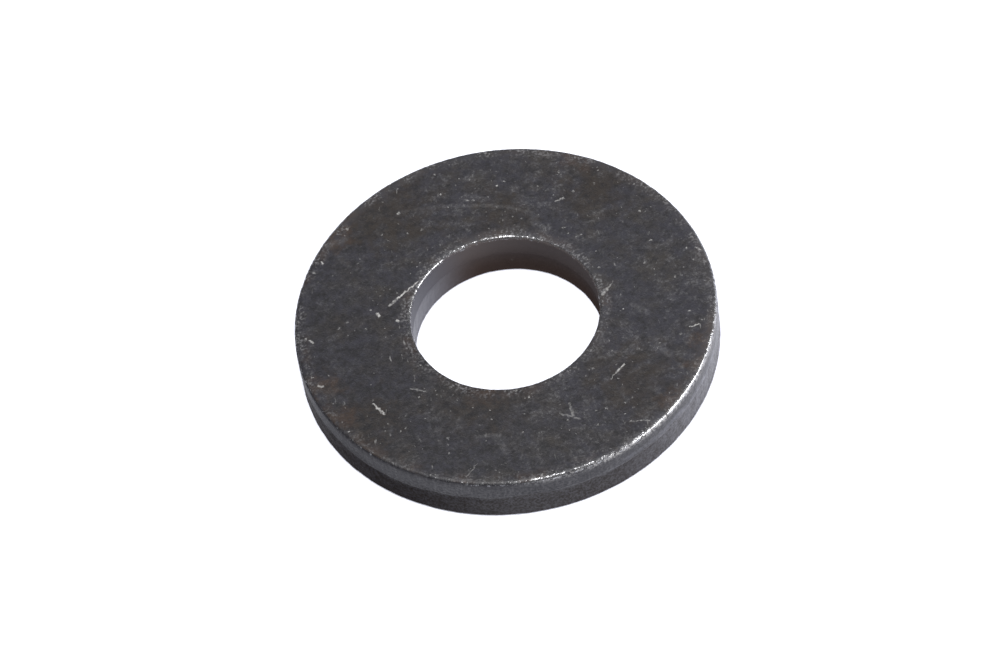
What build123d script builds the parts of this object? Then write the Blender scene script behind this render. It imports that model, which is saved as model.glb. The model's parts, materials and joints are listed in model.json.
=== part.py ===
from build123d import *
import os

os.makedirs("parts", exist_ok=True)

# Driving dimensions, in millimetres. The washer lies flat on Z = 0 with its bore along +Z.
outer_diameter = 24.0
bore_diameter = 10.7
thickness = 3.0

# Each punched wall is a smooth sheared band under the top face. At the tear line it steps back,
# and the torn band below runs out again to full size at the bottom face.
rim_sheared_depth = 1.25  # top face to the tear line round the rim
bore_sheared_depth = 1.4  # top face to the tear line in the bore
tear_ledge = 0.05  # how far the wall steps back at a tear line, and over what height

# Edges rolled over by the punch and rounded by tumbling
rim_top_radius = 0.24
rim_bottom_radius = 0.15
bore_top_radius = 0.20
bore_bottom_radius = 0.12

rim_radius = outer_diameter / 2
bore_radius = bore_diameter / 2
rim_tear_height = thickness - rim_sheared_depth
bore_tear_height = thickness - bore_sheared_depth
sharp = 0

# Washer: one blanked ring, turned from its half section
with BuildPart() as washer:
    with BuildSketch(Plane.XZ):
        with BuildLine():
            FilletPolyline(
                (bore_radius, thickness),
                (rim_radius, thickness),
                (rim_radius, rim_tear_height),
                (rim_radius - tear_ledge, rim_tear_height - tear_ledge),
                (rim_radius, 0),
                (bore_radius, 0),
                (bore_radius + tear_ledge, bore_tear_height - tear_ledge),
                (bore_radius, bore_tear_height),
                radius=(
                    bore_top_radius,
                    rim_top_radius,
                    sharp,
                    sharp,
                    rim_bottom_radius,
                    bore_bottom_radius,
                    sharp,
                    sharp,
                ),
                close=True,
            )
        make_face()
    revolve(axis=Axis.Z)

washer.part.label = "washer"
export_step(washer.part, "parts/washer.step")
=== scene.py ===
import json
import math

import bmesh
import bpy
from mathutils import Matrix, Vector


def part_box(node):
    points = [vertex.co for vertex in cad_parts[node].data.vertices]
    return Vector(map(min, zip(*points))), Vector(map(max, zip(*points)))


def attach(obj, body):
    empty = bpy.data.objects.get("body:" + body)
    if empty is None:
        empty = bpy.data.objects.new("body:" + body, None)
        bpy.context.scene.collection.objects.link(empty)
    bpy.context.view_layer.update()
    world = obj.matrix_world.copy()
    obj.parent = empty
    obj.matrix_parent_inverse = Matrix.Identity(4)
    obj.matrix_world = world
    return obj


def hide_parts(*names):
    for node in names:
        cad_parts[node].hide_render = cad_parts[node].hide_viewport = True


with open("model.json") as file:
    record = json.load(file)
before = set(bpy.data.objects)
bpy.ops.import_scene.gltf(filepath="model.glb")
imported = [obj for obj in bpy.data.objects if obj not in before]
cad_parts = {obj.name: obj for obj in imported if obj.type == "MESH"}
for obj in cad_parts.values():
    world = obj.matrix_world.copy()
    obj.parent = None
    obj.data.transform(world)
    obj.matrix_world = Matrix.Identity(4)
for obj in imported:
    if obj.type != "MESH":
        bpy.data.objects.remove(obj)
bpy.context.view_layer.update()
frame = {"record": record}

MM = 0.001
TOUCH = 0.001 * MM  # points nearer than this are one point

# The washer's size, from the frame
RIM, _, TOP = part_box("washer")[1]
BORE_MOUNT = next(m for m in frame["record"]["mounts"] if m["name"] == "bore")
BORE = BORE_MOUNT["dims"]["r_mm"] * MM
MIDDLE = (BORE + RIM) / 2

# Punched walls: a smooth sheared band under the top face, then a ledge, and a torn band below it
RIM_TEAR = TOP - 1.25 * MM
BORE_TEAR = TOP - 1.40 * MM
LEDGE = 0.05 * MM

# Edges rounded by punching and tumbling
RIM_TOP_ROUND = 0.24 * MM
RIM_FOOT_ROUND = 0.15 * MM
BORE_TOP_ROUND = 0.20 * MM
BORE_FOOT_ROUND = 0.12 * MM
ROUND_SEGMENTS = 6

# How finely the ring is divided: steps round it, and lines cut along its walls and faces
TURN_STEPS = 900
WALL_LINE_SPACING = 0.11 * MM
FACE_LINES_FROM_EDGE = [d * MM for d in (0.32, 0.40, 0.60, 1.10, 2.00)]


# ---------------------------------------------------------------- modelling


def pick_points(chosen):
    """Selects only the points of the mesh being edited whose place is chosen."""
    mesh = bpy.context.edit_object.data
    shape = bmesh.from_edit_mesh(mesh)
    bpy.ops.mesh.select_all(action="DESELECT")
    for point in shape.verts:
        point.select = chosen(point.co)
    shape.select_flush(True)
    bmesh.update_edit_mesh(mesh)


def move_point(place, target):
    """Moves the point at a place on the half section to its target, both as (radius, height)."""
    start, end = (Vector((radius, 0, height)) for radius, height in (place, target))
    pick_points(lambda co: (co - start).length < TOUCH)
    bpy.ops.transform.translate(value=end - start)


def round_corner(place, radius):
    """Rounds the corner of the half section at (radius, height)."""
    corner = Vector((place[0], 0, place[1]))
    pick_points(lambda co: (co - corner).length < TOUCH)
    bpy.ops.mesh.bevel(offset=radius, segments=ROUND_SEGMENTS, affect="VERTICES")


def step_wall(radius, outward, tear):
    """Gives a wall its tear line, ledge and torn band. outward is 1 on the rim and -1 in the bore."""
    pick_points(lambda co: abs(co.x - radius) < TOUCH)
    bpy.ops.mesh.subdivide(number_cuts=2)
    move_point((radius, TOP * 2 / 3), (radius, tear))
    move_point((radius, TOP / 3), (radius - outward * LEDGE, tear - LEDGE))


def cut_line(place, direction):
    """Cuts the whole half section along the plane through a place."""
    bpy.ops.mesh.select_all(action="SELECT")
    bpy.ops.mesh.bisect(plane_co=place, plane_no=direction, threshold=TOUCH)


def turn_ring():
    """The ring: its half section drawn as a wire and turned about the bore's axis."""
    bpy.ops.object.select_all(action="DESELECT")
    centre = (MIDDLE, 0, TOP / 2)
    bpy.ops.mesh.primitive_plane_add(size=TOP, location=centre, rotation=(math.pi / 2, 0, 0))
    ring = bpy.context.object
    ring.name = ring.data.name = "steel_ring"
    bpy.ops.object.transform_apply(location=True, rotation=True, scale=True)
    bpy.ops.object.mode_set(mode="EDIT")
    bpy.ops.mesh.select_mode(type="VERT")
    bpy.ops.mesh.select_all(action="SELECT")
    bpy.ops.transform.resize(value=((RIM - BORE) / TOP, 1, 1), center_override=centre)
    bpy.ops.mesh.delete(type="ONLY_FACE")
    step_wall(RIM, 1, RIM_TEAR)
    step_wall(BORE, -1, BORE_TEAR)
    round_corner((RIM, TOP), RIM_TOP_ROUND)
    round_corner((BORE, TOP), BORE_TOP_ROUND)
    round_corner((RIM, 0), RIM_FOOT_ROUND)
    round_corner((BORE, 0), BORE_FOOT_ROUND)
    for gap in FACE_LINES_FROM_EDGE:
        cut_line((RIM - gap, 0, 0), (1, 0, 0))
        cut_line((BORE + gap, 0, 0), (1, 0, 0))
    height = RIM_FOOT_ROUND
    while height < TOP - RIM_TOP_ROUND:
        cut_line((0, 0, height), (0, 0, 1))
        height += WALL_LINE_SPACING
    bpy.ops.object.mode_set(mode="OBJECT")
    turn = ring.modifiers.new("turn", "SCREW")
    turn.axis = "Z"
    turn.angle = 2 * math.pi
    turn.steps = turn.render_steps = TURN_STEPS
    turn.use_merge_vertices = True
    turn.merge_threshold = TOUCH
    bpy.ops.object.modifier_apply(modifier=turn.name)
    bpy.ops.object.mode_set(mode="EDIT")
    bpy.ops.mesh.select_all(action="SELECT")
    bpy.ops.mesh.remove_doubles(threshold=TOUCH)
    bpy.ops.mesh.normals_make_consistent(inside=False)
    bpy.ops.object.mode_set(mode="OBJECT")
    return ring


def fade(value, start, end):
    """0 before start, 1 after end, and smooth between them. start may be the larger."""
    share = min(max((value - start) / (end - start), 0), 1)
    return share * share * (3 - 2 * share)


def tear_height(radius):
    return RIM_TEAR if radius > MIDDLE else BORE_TEAR


def on_wall(radius):
    """1 on the two walls, and 0 from 0.3 mm inside the metal on."""
    return fade(min(abs(radius - RIM), abs(radius - BORE)), 0.30 * MM, 0.20 * MM)


def near_tear(radius, height):
    """1 along the two tear lines, falling to 0 above and below them."""
    return on_wall(radius) * fade(abs(height - tear_height(radius)), 0.70 * MM, 0.10 * MM)


def torn(radius, height):
    """1 on the torn bands, and 0 on the sheared bands and at the foot."""
    tear = tear_height(radius)
    return on_wall(radius) * fade(height, tear, tear - 0.2 * MM) * fade(height, 0.05 * MM, 0.35 * MM)


def near_edge(radius, height):
    """1 on the four rounded edges, and 0 before the first line cut along each face."""
    corners = ((RIM, TOP), (BORE, TOP), (RIM, 0), (BORE, 0))
    nearest = min(math.hypot(radius - r, height - h) for r, h in corners)
    return fade(nearest, 0.39 * MM, 0.20 * MM)


def weigh(piece, name, weight_at):
    """Adds a vertex group whose weights come from each point's radius and height, and gives its name.

    The name still holds after a modifier is applied, when the groups themselves are made anew.
    """
    group = piece.vertex_groups.new(name=name)
    for point in piece.data.vertices:
        weight = weight_at(math.hypot(point.co.x, point.co.y), point.co.z)
        if weight > 0:
            group.add([point.index], weight, "REPLACE")
    return name


def wear_down(piece, group_name, size, depth, contrast=1.6, brightness=1.0, direction="NORMAL", level=0.0):
    """Pushes the group's points in by up to depth, in soft lumps of the given size.

    With a level of 0.5 they move both ways, by up to half the depth.
    """
    texture = bpy.data.textures.new(group_name, "CLOUDS")
    texture.noise_scale = size
    texture.noise_depth = 2
    texture.contrast = contrast
    texture.intensity = brightness
    texture.use_clamp = True
    change = piece.modifiers.new(group_name, "DISPLACE")
    change.texture = texture
    change.texture_coords = "LOCAL"
    change.direction = direction
    change.mid_level = level
    change.strength = -depth
    change.vertex_group = group_name
    bpy.ops.object.select_all(action="DESELECT")
    piece.select_set(True)
    bpy.context.view_layer.objects.active = piece
    bpy.ops.object.modifier_apply(modifier=change.name)


def rough_up(ring):
    """Takes the machine-perfect look off the ring: wandering tear lines, torn metal and dented edges."""
    tear_lines = weigh(ring, "tear lines", near_tear)
    wear_down(ring, tear_lines, size=2.60 * MM, depth=0.300 * MM, direction="Z", level=0.5)
    torn_bands = weigh(ring, "torn bands", torn)
    wear_down(ring, torn_bands, size=0.60 * MM, depth=0.035 * MM)
    wear_down(ring, torn_bands, size=0.18 * MM, depth=0.012 * MM)
    edges = weigh(ring, "edges", near_edge)
    wear_down(ring, edges, size=1.10 * MM, depth=0.018 * MM, contrast=2.0, brightness=0.8)
    wear_down(ring, edges, size=0.28 * MM, depth=0.012 * MM, contrast=2.2, brightness=0.8)
    bpy.ops.object.shade_smooth_by_angle(angle=math.radians(60))


def lay_finishes(ring, *finishes):
    """Gives the two flat faces, the rim and the bore their finishes, in that order.

    A rounded edge is shared by the face and the wall that it joins.
    """
    on_face, on_rim, on_bore = range(3)
    for finish in finishes:
        ring.data.materials.append(finish)
    for face in ring.data.polygons:
        if abs(face.normal.z) > 0.7:
            face.material_index = on_face
        elif math.hypot(face.center.x, face.center.y) > MIDDLE:
            face.material_index = on_rim
        else:
            face.material_index = on_bore


# ---------------------------------------------------------------- finishes
# Places and sizes in the finishes are in millimetres, measured from the middle of the bottom face

# Sides of the ring, as azimuths in degrees
RIGHT = 0
SCUFFED_SIDE = 10
UPPER_RIGHT = 45
MOST_WORN_SIDE = -48
LOWER_RIGHT = -50

TOP_EDGES = ((RIM, TOP), (BORE, TOP))

# Colours of the plate
BLUED = (0.0155, 0.0152, 0.0220, 1)
OLIVE = (0.0195, 0.0165, 0.0150, 1)
SOOTY = (0.0040, 0.0036, 0.0050, 1)
SCUFFED = (0.130, 0.127, 0.132, 1)
UMBER = (0.0180, 0.0134, 0.0106, 1)
RUSTY = (0.028, 0.0165, 0.0115, 1)

# Colours of the rim and the bore
SHEARED_GREY = (0.0165, 0.0158, 0.0185, 1)
# Painted light: the paler grey of the rim's right side, where the right soft box falls
RIM_PAINTED_LIGHT_GREY = (0.0900, 0.0900, 0.1060, 1)
TORN_BROWN = (0.0110, 0.0078, 0.0066, 1)
TORN_GREY = (0.0230, 0.0210, 0.0245, 1)
# Painted light: the grey of the bore's left wall, which faces the right soft box and the lit floor
BORE_PAINTED_LIGHT_GREY = (0.0500, 0.0490, 0.0600, 1)
BORE_BROWN = (0.0860, 0.0740, 0.0730, 1)
BORE_DARK = (0.0420, 0.0300, 0.0260, 1)

# Colours under the oxide
CHIPPED = (0.50, 0.49, 0.48, 1)
BARE_STEEL = (0.40, 0.40, 0.41, 1)

# Knocks and scratches on the top face: start, end, width and strength
SCRATCHES = [
    ((-4.6, 3.2), (-5.9, 2.2), 0.07, 1.0),
    ((-5.9, 2.2), (-6.4, 1.8), 0.10, 0.5),
    ((-7.15, 1.4), (-7.05, 1.2), 0.12, 1.0),
    ((-6.1, 0.7), (-6.0, 0.6), 0.12, 0.8),
    ((-11.15, 0.3), (-11.0, 0.1), 0.10, 0.7),
    ((-10.4, 5.1), (-10.3, 5.0), 0.10, 0.5),
    ((-9.85, 5.75), (-9.8, 5.65), 0.09, 0.8),
    ((-11.0, -3.0), (-10.8, -3.1), 0.12, 0.5),
    ((-8.1, -4.9), (-7.6, -5.7), 0.11, 0.7),
    ((-5.9, -4.3), (-5.1, -4.6), 0.08, 0.3),
    ((5.2, -5.9), (5.7, -5.4), 0.06, 0.45),
    ((5.7, -5.4), (6.1, -5.0), 0.08, 0.9),
    ((5.9, -9.0), (6.9, -9.2), 0.07, 0.4),
    ((10.1, -3.2), (10.6, -3.1), 0.07, 0.7),
    ((11.3, 2.35), (11.5, 2.1), 0.09, 0.6),
    ((3.9, 7.3), (4.4, 7.5), 0.08, 0.5),
    ((2.1, -7.7), (3.1, -8.3), 0.10, 0.25),
    ((2.7, -7.1), (2.8, -8.0), 0.10, 0.25),
    ((-3.6, -10.9), (-2.9, -10.2), 0.06, 0.3),
    ((5.6, 0.1), (5.9, 0.4), 0.12, 0.5),
    ((5.9, 0.4), (6.3, 0.9), 0.06, 0.4),
    ((-5.1, 8.3), (-5.05, 8.35), 0.09, 0.8),
    ((-2.5, 9.25), (-2.5, 9.2), 0.09, 0.8),
    ((0.7, 9.2), (0.75, 9.2), 0.09, 0.9),
    ((10.2, -2.1), (10.25, -2.1), 0.08, 0.9),
]

# Faint pale smears on the top face, given in the same way
SMEARS = [
    ((-5.0, 8.4), (-2.7, 8.4), 0.24, 0.20),
    ((-2.7, 8.4), (0.2, 7.8), 0.24, 0.36),
    ((0.2, 7.8), (1.4, 7.4), 0.24, 0.36),
    ((1.4, 7.4), (2.4, 6.8), 0.24, 0.28),
    ((2.4, 6.8), (2.7, 6.0), 0.24, 0.22),
    ((-2.7, -8.3), (-1.4, -8.5), 0.22, 0.45),
    ((-1.6, -8.6), (-1.2, -9.7), 0.40, 0.35),
    ((-9.6, 6.8), (-8.4, 7.1), 0.35, 0.35),
    ((7.2, -1.0), (7.9, -1.7), 0.40, 0.35),
    ((8.2, -4.2), (8.7, -4.9), 0.35, 0.35),
]

# Browned regions of the top face: middle and radius
BROWNED = [
    ((-5.5, 8.6), 4.2),
    ((0.8, 7.0), 2.6),
    ((6.2, 7.6), 3.0),
    ((-8.6, -6.0), 3.4),
    ((-2.0, -6.2), 3.2),
    ((6.6, -6.4), 3.6),
]

# Rust stains on the top face: middle and radius
STAINS = [
    ((-10.6, -3.0), 1.3),
    ((-9.9, -5.4), 1.2),
    ((10.6, -4.4), 0.9),
    ((10.0, -5.8), 0.9),
    ((8.3, -8.0), 1.0),
    ((-9.0, 7.5), 1.5),
    ((-2.0, -5.6), 1.1),
    ((5.4, 10.2), 1.2),
]


def put(tree, kind, settings=None, **inputs):
    """Adds a node and links or sets its inputs. In a name, _ stands for a space, and _0 is the first."""
    node = tree.nodes.new("ShaderNode" + kind)
    for name, value in (settings or {}).items():
        setattr(node, name, value)
    for name, value in inputs.items():
        socket = node.inputs[int(name[1:])] if name[1:].isdigit() else node.inputs[name.replace("_", " ")]
        if isinstance(value, bpy.types.NodeSocket):
            tree.links.new(value, socket)
        else:
            socket.default_value = value
    return node


def maths(tree, operation, first, second=0.0):
    return put(tree, "Math", {"operation": operation}, _0=first, _1=second).outputs[0]


def times(tree, first, *others):
    for other in others:
        first = maths(tree, "MULTIPLY", first, other)
    return first


def most(tree, first, *others):
    for other in others:
        first = maths(tree, "MAXIMUM", first, other)
    return first


def vectors(tree, operation, first, second=(0, 0, 0)):
    node = put(tree, "VectorMath", {"operation": operation}, _0=first, _1=second)
    return node.outputs["Value" if operation in ("LENGTH", "DISTANCE", "DOT_PRODUCT") else "Vector"]


def ramp(tree, value, start, end, low=0.0, high=1.0):
    """low up to start, high from end on, and smooth between them."""
    node = put(
        tree, "MapRange", {"interpolation_type": "SMOOTHSTEP"},
        Value=value, From_Min=start, From_Max=end, To_Min=low, To_Max=high,
    )
    return node.outputs["Result"]


def noise(tree, place, size, detail=2.0, roughness=0.5):
    """Soft random values from 0 to 1, in lumps of about the given size."""
    node = put(tree, "TexNoise", Vector=place, Scale=1 / size, Detail=detail, Roughness=roughness)
    return node.outputs["Fac"]


def stretched(tree, place, factors):
    """The place with its directions scaled. A factor under 1 draws a pattern out along its direction."""
    return vectors(tree, "MULTIPLY", place, factors)


def blend(tree, share, first, second):
    """The first colour, with the second laid over it by the share."""
    return put(tree, "Mix", {"data_type": "RGBA"}, _0=share, _6=first, _7=second).outputs[2]


def blend_value(tree, share, first, second):
    return put(tree, "Mix", {"data_type": "FLOAT"}, _0=share, _2=first, _3=second).outputs[0]


def new_group(name, inputs, outputs):
    """An empty node group with the named inputs and outputs, given as name to socket type."""
    group = bpy.data.node_groups.new(name, "ShaderNodeTree")
    for direction, sockets in (("INPUT", inputs), ("OUTPUT", outputs)):
        for socket, kind in sockets.items():
            group.interface.new_socket(socket, in_out=direction, socket_type="NodeSocket" + kind)
    given = group.nodes.new("NodeGroupInput").outputs
    result = group.nodes.new("NodeGroupOutput").inputs
    return group, given, result


def use(tree, group, **inputs):
    """Places a node group in the tree and gives back its outputs."""
    return put(tree, "Group", {"node_tree": group}, **inputs).outputs


def ring_place_group():
    """Where a point is on the ring: its place, its radius and its height."""
    outputs = {"Place": "Vector", "Radius": "Float", "Height": "Float"}
    group, _, result = new_group("ring place", {}, outputs)
    place = stretched(group, put(group, "TexCoord").outputs["Object"], (1 / MM, 1 / MM, 1 / MM))
    split = put(group, "SeparateXYZ", Vector=place).outputs
    radius = vectors(group, "LENGTH", put(group, "CombineXYZ", X=split["X"], Y=split["Y"]).outputs[0])
    for value, socket in zip((place, radius, split["Z"]), result):
        group.links.new(value, socket)
    return group


def flecks_group():
    """Small chips in the finish. Share is how many cells of the given Size hold one, before they cluster."""
    inputs = {"Place": "Vector", "Size": "Float", "Share": "Float"}
    group, given, result = new_group("flecks", inputs, {"Mask": "Float"})
    place = given["Place"]
    bend = put(group, "TexNoise", Vector=place, Scale=9.0, Detail=2.0).outputs["Color"]
    bent = vectors(group, "ADD", place, vectors(group, "MULTIPLY", bend, (0.25, 0.25, 0.25)))
    cells = put(group, "TexVoronoi", Vector=bent, Scale=maths(group, "DIVIDE", 1.0, given["Size"]))
    luck = put(group, "SeparateXYZ", Vector=cells.outputs["Color"]).outputs
    clusters = ramp(group, noise(group, place, 2.4), 0.35, 0.65, 0.25, 1.75)
    chosen = maths(group, "LESS_THAN", luck["X"], times(group, given["Share"], clusters))
    reach = ramp(group, luck["Y"], 0.0, 1.0, 0.08, 0.28)
    spot = ramp(group, maths(group, "SUBTRACT", reach, cells.outputs["Distance"]), 0.0, 0.08)
    strength = ramp(group, luck["Z"], 0.2, 1.0, 0.2, 1.0)
    ragged = ramp(group, noise(group, place, 0.11, 3.0, 0.7), 0.40, 0.58, 0.15, 1.0)
    group.links.new(times(group, spot, chosen, strength, ragged), result["Mask"])
    return group


def edge_group():
    """Closeness to one of the ring's edges: 1 near the edge and 0 beyond Reach."""
    inputs = dict.fromkeys(("Radius", "Height", "Edge Radius", "Edge Height", "Reach"), "Float")
    group, given, result = new_group("edge closeness", inputs, {"Mask": "Float"})
    across = maths(group, "SUBTRACT", given["Radius"], given["Edge Radius"])
    up = maths(group, "SUBTRACT", given["Height"], given["Edge Height"])
    away = vectors(group, "LENGTH", put(group, "CombineXYZ", X=across, Y=up).outputs[0])
    group.links.new(ramp(group, maths(group, "DIVIDE", away, given["Reach"]), 1.0, 0.2), result["Mask"])
    return group


def scratch_group():
    """A scratch from Start to End, Width to each side, broken up along its length."""
    inputs = {"Place": "Vector", "Start": "Vector", "End": "Vector", "Width": "Float"}
    group, given, result = new_group("scratch", inputs, {"Mask": "Float"})
    waver = put(group, "TexNoise", Vector=given["Place"], Scale=5.0, Detail=3.0).outputs["Color"]
    centred = vectors(group, "SUBTRACT", waver, (0.5, 0.5, 0.5))
    place = vectors(group, "ADD", given["Place"], vectors(group, "MULTIPLY", centred, (0.30, 0.30, 0.30)))
    along = vectors(group, "SUBTRACT", given["End"], given["Start"])
    offset = vectors(group, "SUBTRACT", place, given["Start"])
    length_squared = vectors(group, "DOT_PRODUCT", along, along)
    share = maths(group, "DIVIDE", vectors(group, "DOT_PRODUCT", offset, along), length_squared)
    kept = put(group, "Clamp", Value=share).outputs[0]
    nearest = vectors(group, "MULTIPLY", along, put(group, "CombineXYZ", X=kept, Y=kept, Z=kept).outputs[0])
    away = maths(group, "DIVIDE", vectors(group, "DISTANCE", offset, nearest), given["Width"])
    broken = ramp(group, noise(group, given["Place"], 0.14, 3.0, 0.7), 0.36, 0.56, 0.25, 1.0)
    group.links.new(times(group, ramp(group, away, 1.0, 0.2), broken), result["Mask"])
    return group


def stain_group():
    """A soft ragged stain of about the given Size round Middle."""
    inputs = {"Place": "Vector", "Middle": "Vector", "Size": "Float"}
    group, given, result = new_group("stain", inputs, {"Mask": "Float"})
    distance = vectors(group, "DISTANCE", given["Place"], given["Middle"])
    away = maths(group, "DIVIDE", distance, given["Size"])
    ragged = ramp(group, noise(group, given["Place"], 0.7, 4.0, 0.6), 0.2, 0.8, -0.5, 0.5)
    group.links.new(ramp(group, maths(group, "ADD", away, ragged), 1.0, 0.1), result["Mask"])
    return group


def new_finish(name, specular):
    material = bpy.data.materials.new(name)
    material.use_nodes = True
    tree = material.node_tree
    shader = tree.nodes["Principled BSDF"]
    shader.inputs["Specular IOR Level"].default_value = specular
    return material, tree, shader


def top_edges(tree, groups, place, reach):
    """Closeness to the nearer of the two top edges."""
    masks = []
    for radius, height in TOP_EDGES:
        near = use(
            tree, groups["edge"], Radius=place["Radius"], Height=place["Height"],
            Edge_Radius=radius / MM, Edge_Height=height / MM, Reach=reach,
        )
        masks.append(near["Mask"])
    return most(tree, *masks)


def towards(tree, place, azimuth):
    """How far a point lies towards an azimuth, in millimetres from the bore's axis."""
    around = math.radians(azimuth)
    return vectors(tree, "DOT_PRODUCT", place["Place"], (math.cos(around), math.sin(around), 0))


def bare_edges(tree, groups, place):
    """Where the black has worn off the top edges: most at the rim's lower right and the bore's upper left."""
    at = place["Place"]
    worn_side = towards(tree, place, MOST_WORN_SIDE)
    rim_side = maths(
        tree, "ADD", ramp(tree, towards(tree, place, UPPER_RIGHT), -12.0, -4.0, 0.36, 0.80),
        ramp(tree, worn_side, 4.0, 11.0, 0.0, 0.22),
    )
    bore_side = ramp(tree, worn_side, -1.0, -3.8, 0.50, 0.70)
    on_rim = maths(tree, "GREATER_THAN", place["Radius"], MIDDLE / MM)
    luck = ramp(tree, noise(tree, at, 1.3), 0.3, 0.7, 0.75, 1.15)
    worn = times(
        tree, top_edges(tree, groups, place, reach=0.30), blend_value(tree, on_rim, bore_side, rim_side), luck
    )
    kept = ramp(tree, noise(tree, at, 0.26, 5.0, 0.8), 0.30, 0.70, 0.10, 1.0)
    lost = ramp(tree, maths(tree, "SUBTRACT", worn, kept), -0.10, 0.32)
    return times(tree, lost, ramp(tree, noise(tree, at, 0.10, 2.0, 0.6), 0.30, 0.60, 0.45, 1.0))


def lay_coat_sheen(tree, shader, shine, bare):
    """Lays a coat's sheen over the oxide, as strong at each point as shine, and none on bare metal. Where the
    callers set shine by side, the sheen stands in for light and shade.
    """
    shader.inputs["Coat Roughness"].default_value = 0.38
    coated = times(tree, shine, maths(tree, "SUBTRACT", 1.0, bare))
    tree.links.new(coated, shader.inputs["Coat Weight"])


def finish_metal(tree, shader, place, colour, chips, bare, roughness, grain_depth):
    """Joins the oxide's colour, the chips in it, the bare edges and the grain to the shader."""
    at = place["Place"]
    colour = blend(tree, chips, colour, CHIPPED)
    tree.links.new(blend(tree, bare, colour, BARE_STEEL), shader.inputs["Base Color"])
    metal = most(tree, ramp(tree, bare, 0.0, 0.3), times(tree, chips, 0.4))
    tree.links.new(metal, shader.inputs["Metallic"])
    tree.links.new(blend_value(tree, bare, roughness, 0.24), shader.inputs["Roughness"])
    grain = maths(tree, "ADD", noise(tree, at, 0.07), noise(tree, at, 0.35))
    height = maths(tree, "SUBTRACT", grain, times(tree, chips, 0.6))
    relief = put(tree, "Bump", Strength=1.0, Distance=grain_depth * MM, Height=height)
    tree.links.new(relief.outputs["Normal"], shader.inputs["Normal"])


def flecks(tree, groups, place, size, share):
    return use(tree, groups["flecks"], Place=place, Size=size, Share=share)["Mask"]


def top_marks(tree, groups, place, marks):
    """The strongest of the marks on the top face at each point."""
    masks = []
    for start, end, width, strength in marks:
        ends = {"Start": (*start, TOP / MM), "End": (*end, TOP / MM)}
        mark = use(tree, groups["scratch"], Place=place["Place"], Width=width, **ends)
        masks.append(times(tree, mark["Mask"], strength))
    return most(tree, *masks)


def top_stains(tree, groups, place, stains):
    """The strongest of the stains on the top face at each point."""
    masks = []
    for middle, size in stains:
        stain = use(tree, groups["stain"], Place=place["Place"], Middle=(*middle, TOP / MM), Size=size)
        masks.append(stain["Mask"])
    return most(tree, *masks)


def plate_rust(tree, groups, place, edges, upper_right):
    """Rust in the stains, and in runs along the top edges that are strongest at the lower left."""
    at = place["Place"]
    runs = times(
        tree, edges, ramp(tree, noise(tree, at, 1.8, 3.0), 0.46, 0.60),
        ramp(tree, upper_right, 11.0, 2.0, 0.3, 0.8),
    )
    patchy = ramp(tree, noise(tree, at, 0.40, 4.0, 0.75), 0.38, 0.58, 0.25, 0.85)
    return times(tree, most(tree, top_stains(tree, groups, place, STAINS), runs), patchy)


def plate_scuffs(tree, groups, place, edges, upper_right, browned):
    """Where the oxide is rubbed paler: in clouds, in flecks and a haze at the edges, and in smears."""
    at = place["Place"]
    grain = ramp(tree, noise(tree, at, 0.17, 2.0, 0.8), 0.45, 0.70)
    clouds = times(
        tree, ramp(tree, noise(tree, at, 0.8, 5.0, 0.75), 0.46, 0.64),
        ramp(tree, noise(tree, at, 5.5), 0.40, 0.62, 0.30, 1.0),
    )
    scuffs = times(
        tree, blend_value(tree, clouds, 0.12, 0.57), blend_value(tree, grain, 0.25, 1.0),
        ramp(tree, towards(tree, place, SCUFFED_SIDE), -10.0, -2.0, 0.55, 1.0),
        ramp(tree, browned, 0.0, 0.8, 1.0, 0.45),
    )
    edge_scuffs = times(
        tree, edges, ramp(tree, noise(tree, at, 0.16, 3.0, 0.7), 0.46, 0.66),
        ramp(tree, noise(tree, at, 1.3, 4.0, 0.6), 0.38, 0.60, 0.18, 1.05),
        ramp(tree, upper_right, -12.0, -7.0, 0.40, 1.0),
        ramp(tree, towards(tree, place, LOWER_RIGHT), 6.0, 11.0, 1.0, 0.55),
    )
    haze = times(tree, edges, ramp(tree, upper_right, -6.0, 2.0, 0.0, 0.14))
    smears = times(tree, top_marks(tree, groups, place, SMEARS), blend_value(tree, grain, 0.6, 1.2))
    return most(tree, scuffs, edge_scuffs, smears, haze)


def plate_chips(tree, groups, place):
    """Chips down to the metal: fine dust, specks, a few large ones, slanted dashes, and the scratches."""
    at = place["Place"]
    masks = []
    for size, share, strength in ((0.21, 0.16, 0.32), (0.32, 0.12, 0.55), (0.42, 0.03, 0.80)):
        masks.append(times(tree, flecks(tree, groups, at, size, share), strength))
    for slant, share in ((0.7, 0.08), (-0.6, 0.06)):
        slanted = put(tree, "Mapping", Vector=at, Rotation=(0, 0, slant), Scale=(1.0, 0.25, 1.0)).outputs[0]
        masks.append(times(tree, flecks(tree, groups, slanted, 0.20, share), 0.35))
    masks.append(top_marks(tree, groups, place, SCRATCHES))
    return most(tree, *masks)


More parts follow.
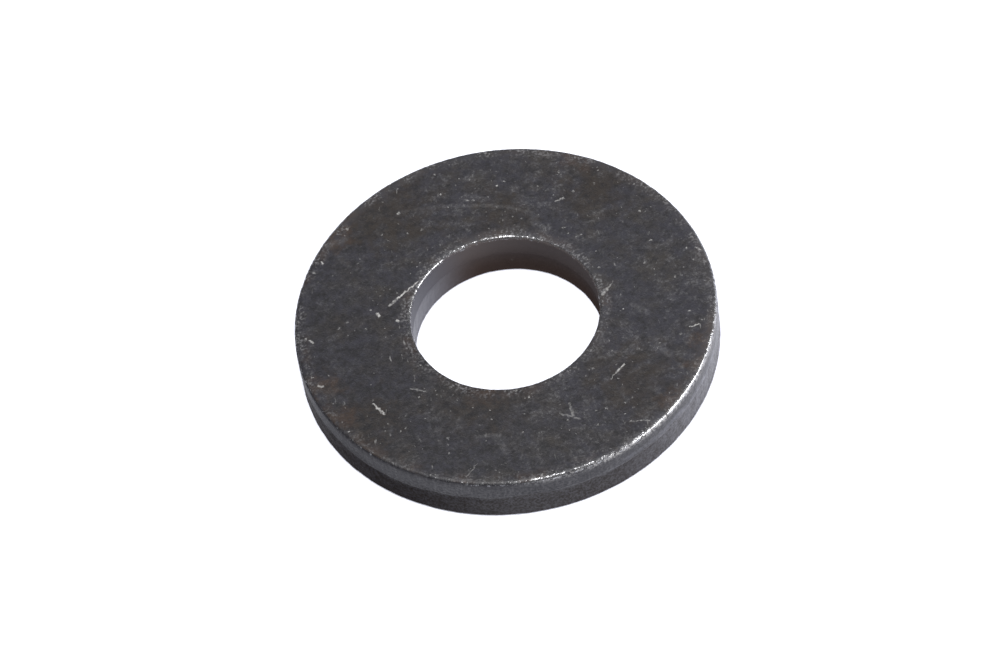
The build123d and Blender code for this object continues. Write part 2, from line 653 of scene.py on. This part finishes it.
def plate_face(groups):
    """Blackened plate: blue and brown mottling, soot, rust, scuffs, chips and scratches."""
    material, tree, shader = new_finish("plate_face", specular=0.38)
    place = use(tree, groups["place"])
    at = place["Place"]
    edges = top_edges(tree, groups, place, reach=1.0)
    upper_right = towards(tree, place, UPPER_RIGHT)

    tint = noise(tree, at, 2.6, 6.0, 0.72)
    colour = blend(tree, ramp(tree, tint, 0.42, 0.66), BLUED, OLIVE)
    browned = times(
        tree, top_stains(tree, groups, place, BROWNED), ramp(tree, tint, 0.35, 0.6, 0.65, 1.0)
    )
    colour = blend(tree, browned, colour, UMBER)
    sootier = ramp(tree, upper_right, -9.0, 3.0, 0.03, -0.02)
    soot = ramp(tree, maths(tree, "ADD", noise(tree, at, 0.60, 6.0, 0.85), sootier), 0.42, 0.64)
    colour = blend(tree, soot, colour, SOOTY)
    colour = blend(tree, plate_rust(tree, groups, place, edges, upper_right), colour, RUSTY)
    scuffs = plate_scuffs(tree, groups, place, edges, upper_right, browned)
    colour = blend(tree, scuffs, colour, SCUFFED)

    chips = plate_chips(tree, groups, place)
    bare = bare_edges(tree, groups, place)
    finish_metal(tree, shader, place, colour, chips, bare, roughness=0.48, grain_depth=0.018)
    return material


def rim_wall(groups):
    """The rim: smooth and grey above its tear line, darker and rougher below, and paler at its right, which
    is painted light.
    """
    material, tree, shader = new_finish("rim_wall", specular=0.012)
    place = use(tree, groups["place"])
    at = place["Place"]
    right = maths(tree, "ADD", towards(tree, place, RIGHT), noise(tree, at, 2.2))
    grain = noise(tree, at, 0.14, 3.0, 0.65)
    patches = ramp(tree, noise(tree, stretched(tree, at, (1, 1, 0.5)), 0.5, 4.0, 0.7), 0.35, 0.62, 0.25, 1.0)

    # The torn band starts at the tear line, more softly towards the left
    tear = RIM_TEAR / MM
    level = maths(tree, "ADD", place["Height"], ramp(tree, noise(tree, at, 2.2), 0.2, 0.8, -0.2, 0.2))
    softness = ramp(tree, right, -8.0, 0.0, 0.45, 0.05)
    torn_from = maths(tree, "ADD", tear, softness)
    torn_below = maths(tree, "SUBTRACT", tear - 0.15, softness)
    torn_share = ramp(tree, level, torn_from, torn_below)

    streaks = ramp(tree, noise(tree, stretched(tree, at, (1, 1, 0.15)), 0.22, 3.0, 0.6), 0.35, 0.70)
    streaked = times(tree, streaks, ramp(tree, grain, 0.30, 0.70, 0.02, 0.22))
    sheared = blend(tree, streaked, SHEARED_GREY, SCUFFED)
    # Paler grey in patches on the sheared band towards the right: painted light where the right soft box
    # falls on the rim
    painted_light_right = times(
        tree, ramp(tree, right, 2.0, 11.0), ramp(tree, level, tear + 0.50, tear + 0.15, 0.10, 1.0), patches
    )
    sheared = blend(tree, painted_light_right, sheared, RIM_PAINTED_LIGHT_GREY)
    scraped = times(
        tree, top_edges(tree, groups, place, reach=0.52),
        ramp(tree, towards(tree, place, LOWER_RIGHT), 8.0, 11.8),
        ramp(tree, noise(tree, at, 0.22, 4.0, 0.8), 0.42, 0.60), 0.62,
    )
    sheared = blend(tree, scraped, sheared, CHIPPED)

    torn_colour = blend(tree, ramp(tree, grain, 0.38, 0.66), TORN_BROWN, TORN_GREY)
    # The torn band is also paler towards the right: painted light
    torn_painted_light_right = times(tree, ramp(tree, right, 4.0, 12.0, 0.0, 0.6), patches)
    torn_colour = blend(tree, torn_painted_light_right, torn_colour, RIM_PAINTED_LIGHT_GREY)
    colour = blend(tree, torn_share, sheared, torn_colour)

    # The coat's sheen grows from none at the far left towards the right: painted shade at the left and
    # painted light at the right, laid in the sheen rather than the colour
    sheared_shine = ramp(tree, right, -12.5, -4.0, 0.0, 0.56)
    torn_shine = maths(
        tree, "ADD", ramp(tree, right, -8.0, 1.0, 0.0, 0.47), ramp(tree, right, 5.0, 11.0, 0.0, 0.32)
    )
    grainy = ramp(tree, grain, 0.3, 0.7, 0.6, 1.2)
    shine = times(tree, blend_value(tree, torn_share, sheared_shine, torn_shine), grainy)

    chips = times(tree, flecks(tree, groups, at, 0.34, 0.08), 0.12)
    bare = bare_edges(tree, groups, place)
    roughness = blend_value(tree, torn_share, 0.34, 0.44)
    lay_coat_sheen(tree, shader, shine, bare)
    finish_metal(tree, shader, place, colour, chips, bare, roughness, grain_depth=0.014)
    return material


def bore_wall(groups):
    """The bore: grey at its left, which is painted light, and brown elsewhere, darkening towards its foot."""
    material, tree, shader = new_finish("bore_wall", specular=0.0)
    place = use(tree, groups["place"])
    at = place["Place"]
    right = maths(tree, "ADD", towards(tree, place, RIGHT), noise(tree, at, 2.5, 3.0))
    # Grey at the left is painted light for the wall that faces the right soft box and the lit floor; brown
    # elsewhere
    grey = ramp(tree, right, -0.5, -4.2)
    deep = ramp(tree, place["Height"], TOP / MM - 0.3, 0.4)
    colour = blend(tree, grey, blend(tree, deep, BORE_BROWN, BORE_DARK), BORE_PAINTED_LIGHT_GREY)

    torn_share = ramp(tree, place["Height"], BORE_TEAR / MM, BORE_TEAR / MM - 0.30)
    # The coat's sheen lies only on the grey left side: painted light, like the grey
    shine = times(tree, grey, blend_value(tree, torn_share, 0.40, 0.85))
    chips = times(tree, flecks(tree, groups, at, 0.34, 0.05), 0.06)
    bare = bare_edges(tree, groups, place)
    lay_coat_sheen(tree, shader, shine, bare)
    finish_metal(tree, shader, place, colour, chips, bare, roughness=0.45, grain_depth=0.005)
    return material


# ---------------------------------------------------------------- studio

VIEW_ELEVATION = math.radians(52.22)
VIEW_ROLL = math.radians(-9.47)
VIEW_DISTANCE = 321.8 * MM
LOOK_AT = Vector((-0.465, -0.89, 2.32)) * MM
LENS = 205.2  # focal length on Blender's 36 mm wide sensor
NEAREST_SEEN = 10 * MM

FLOOR_WIDTH = 3
PALE_FLOOR = (0.78, 0.79, 0.86, 1)
FLOOR_GLOW = (0.90, 0.91, 1.0, 1)
ROOM_LIGHT = (0.98, 0.98, 1, 1)


def add_camera():
    """The camera looks down at the washer from the front, tilted a little to one side."""
    data = bpy.data.cameras.new("camera")
    data.lens = LENS
    data.clip_start = NEAREST_SEEN
    camera = bpy.data.objects.new("camera", data)
    bpy.context.scene.collection.objects.link(camera)
    back = Vector((0, -math.cos(VIEW_ELEVATION), math.sin(VIEW_ELEVATION)))
    turn = (-back).to_track_quat("-Z", "Y") @ Matrix.Rotation(VIEW_ROLL, 3, "Z").to_quaternion()
    camera.rotation_mode = "QUATERNION"
    camera.rotation_quaternion = turn
    camera.location = LOOK_AT + back * VIEW_DISTANCE
    bpy.context.scene.camera = camera


def add_soft_box(name, azimuth, elevation, distance, width, height, power):
    """A soft box that faces the washer, placed by its direction as seen from there, in degrees."""
    data = bpy.data.lights.new(name, "AREA")
    data.shape = "RECTANGLE"
    data.size = width
    data.size_y = height
    data.energy = power
    light = bpy.data.objects.new(name, data)
    bpy.context.scene.collection.objects.link(light)
    around, up = math.radians(azimuth), math.radians(elevation)
    away = Vector((math.cos(around) * math.cos(up), math.sin(around) * math.cos(up), math.sin(up)))
    light.location = away * distance
    light.rotation_euler = away.to_track_quat("Z", "Y").to_euler()


def add_floor():
    """A plain pale floor, which glows a little so that it stays white at the washer's foot."""
    bpy.ops.object.select_all(action="DESELECT")
    bpy.ops.mesh.primitive_plane_add(size=FLOOR_WIDTH, location=(0, 0, 0))
    floor = bpy.context.object
    floor.name = "floor"
    material, _, shader = new_finish("pale_floor", specular=0.5)
    shader.inputs["Base Color"].default_value = PALE_FLOOR
    shader.inputs["Roughness"].default_value = 0.8
    shader.inputs["Emission Color"].default_value = FLOOR_GLOW
    shader.inputs["Emission Strength"].default_value = 0.35
    floor.data.materials.append(material)


def light_studio():
    """Even light all round, a low soft box at the right and a small one overhead."""
    world = bpy.data.worlds.new("studio")
    bpy.context.scene.world = world
    world.use_nodes = True
    background = world.node_tree.nodes["Background"]
    background.inputs["Color"].default_value = ROOM_LIGHT
    background.inputs["Strength"].default_value = 0.22
    add_soft_box(
        "right soft box", azimuth=-14, elevation=25, distance=0.45, width=0.40, height=0.10, power=2.3
    )
    add_soft_box(
        "overhead soft box", azimuth=-120, elevation=85, distance=0.8, width=0.24, height=0.24, power=6.6
    )
    bpy.context.scene.view_settings.view_transform = "Standard"


# ---------------------------------------------------------------- the scene

groups = {
    "place": ring_place_group(),
    "flecks": flecks_group(),
    "edge": edge_group(),
    "scratch": scratch_group(),
    "stain": stain_group(),
}
ring = turn_ring()
lay_finishes(ring, plate_face(groups), rim_wall(groups), bore_wall(groups))
rough_up(ring)
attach(ring, "root")
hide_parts("washer")

add_floor()
add_camera()
light_studio()
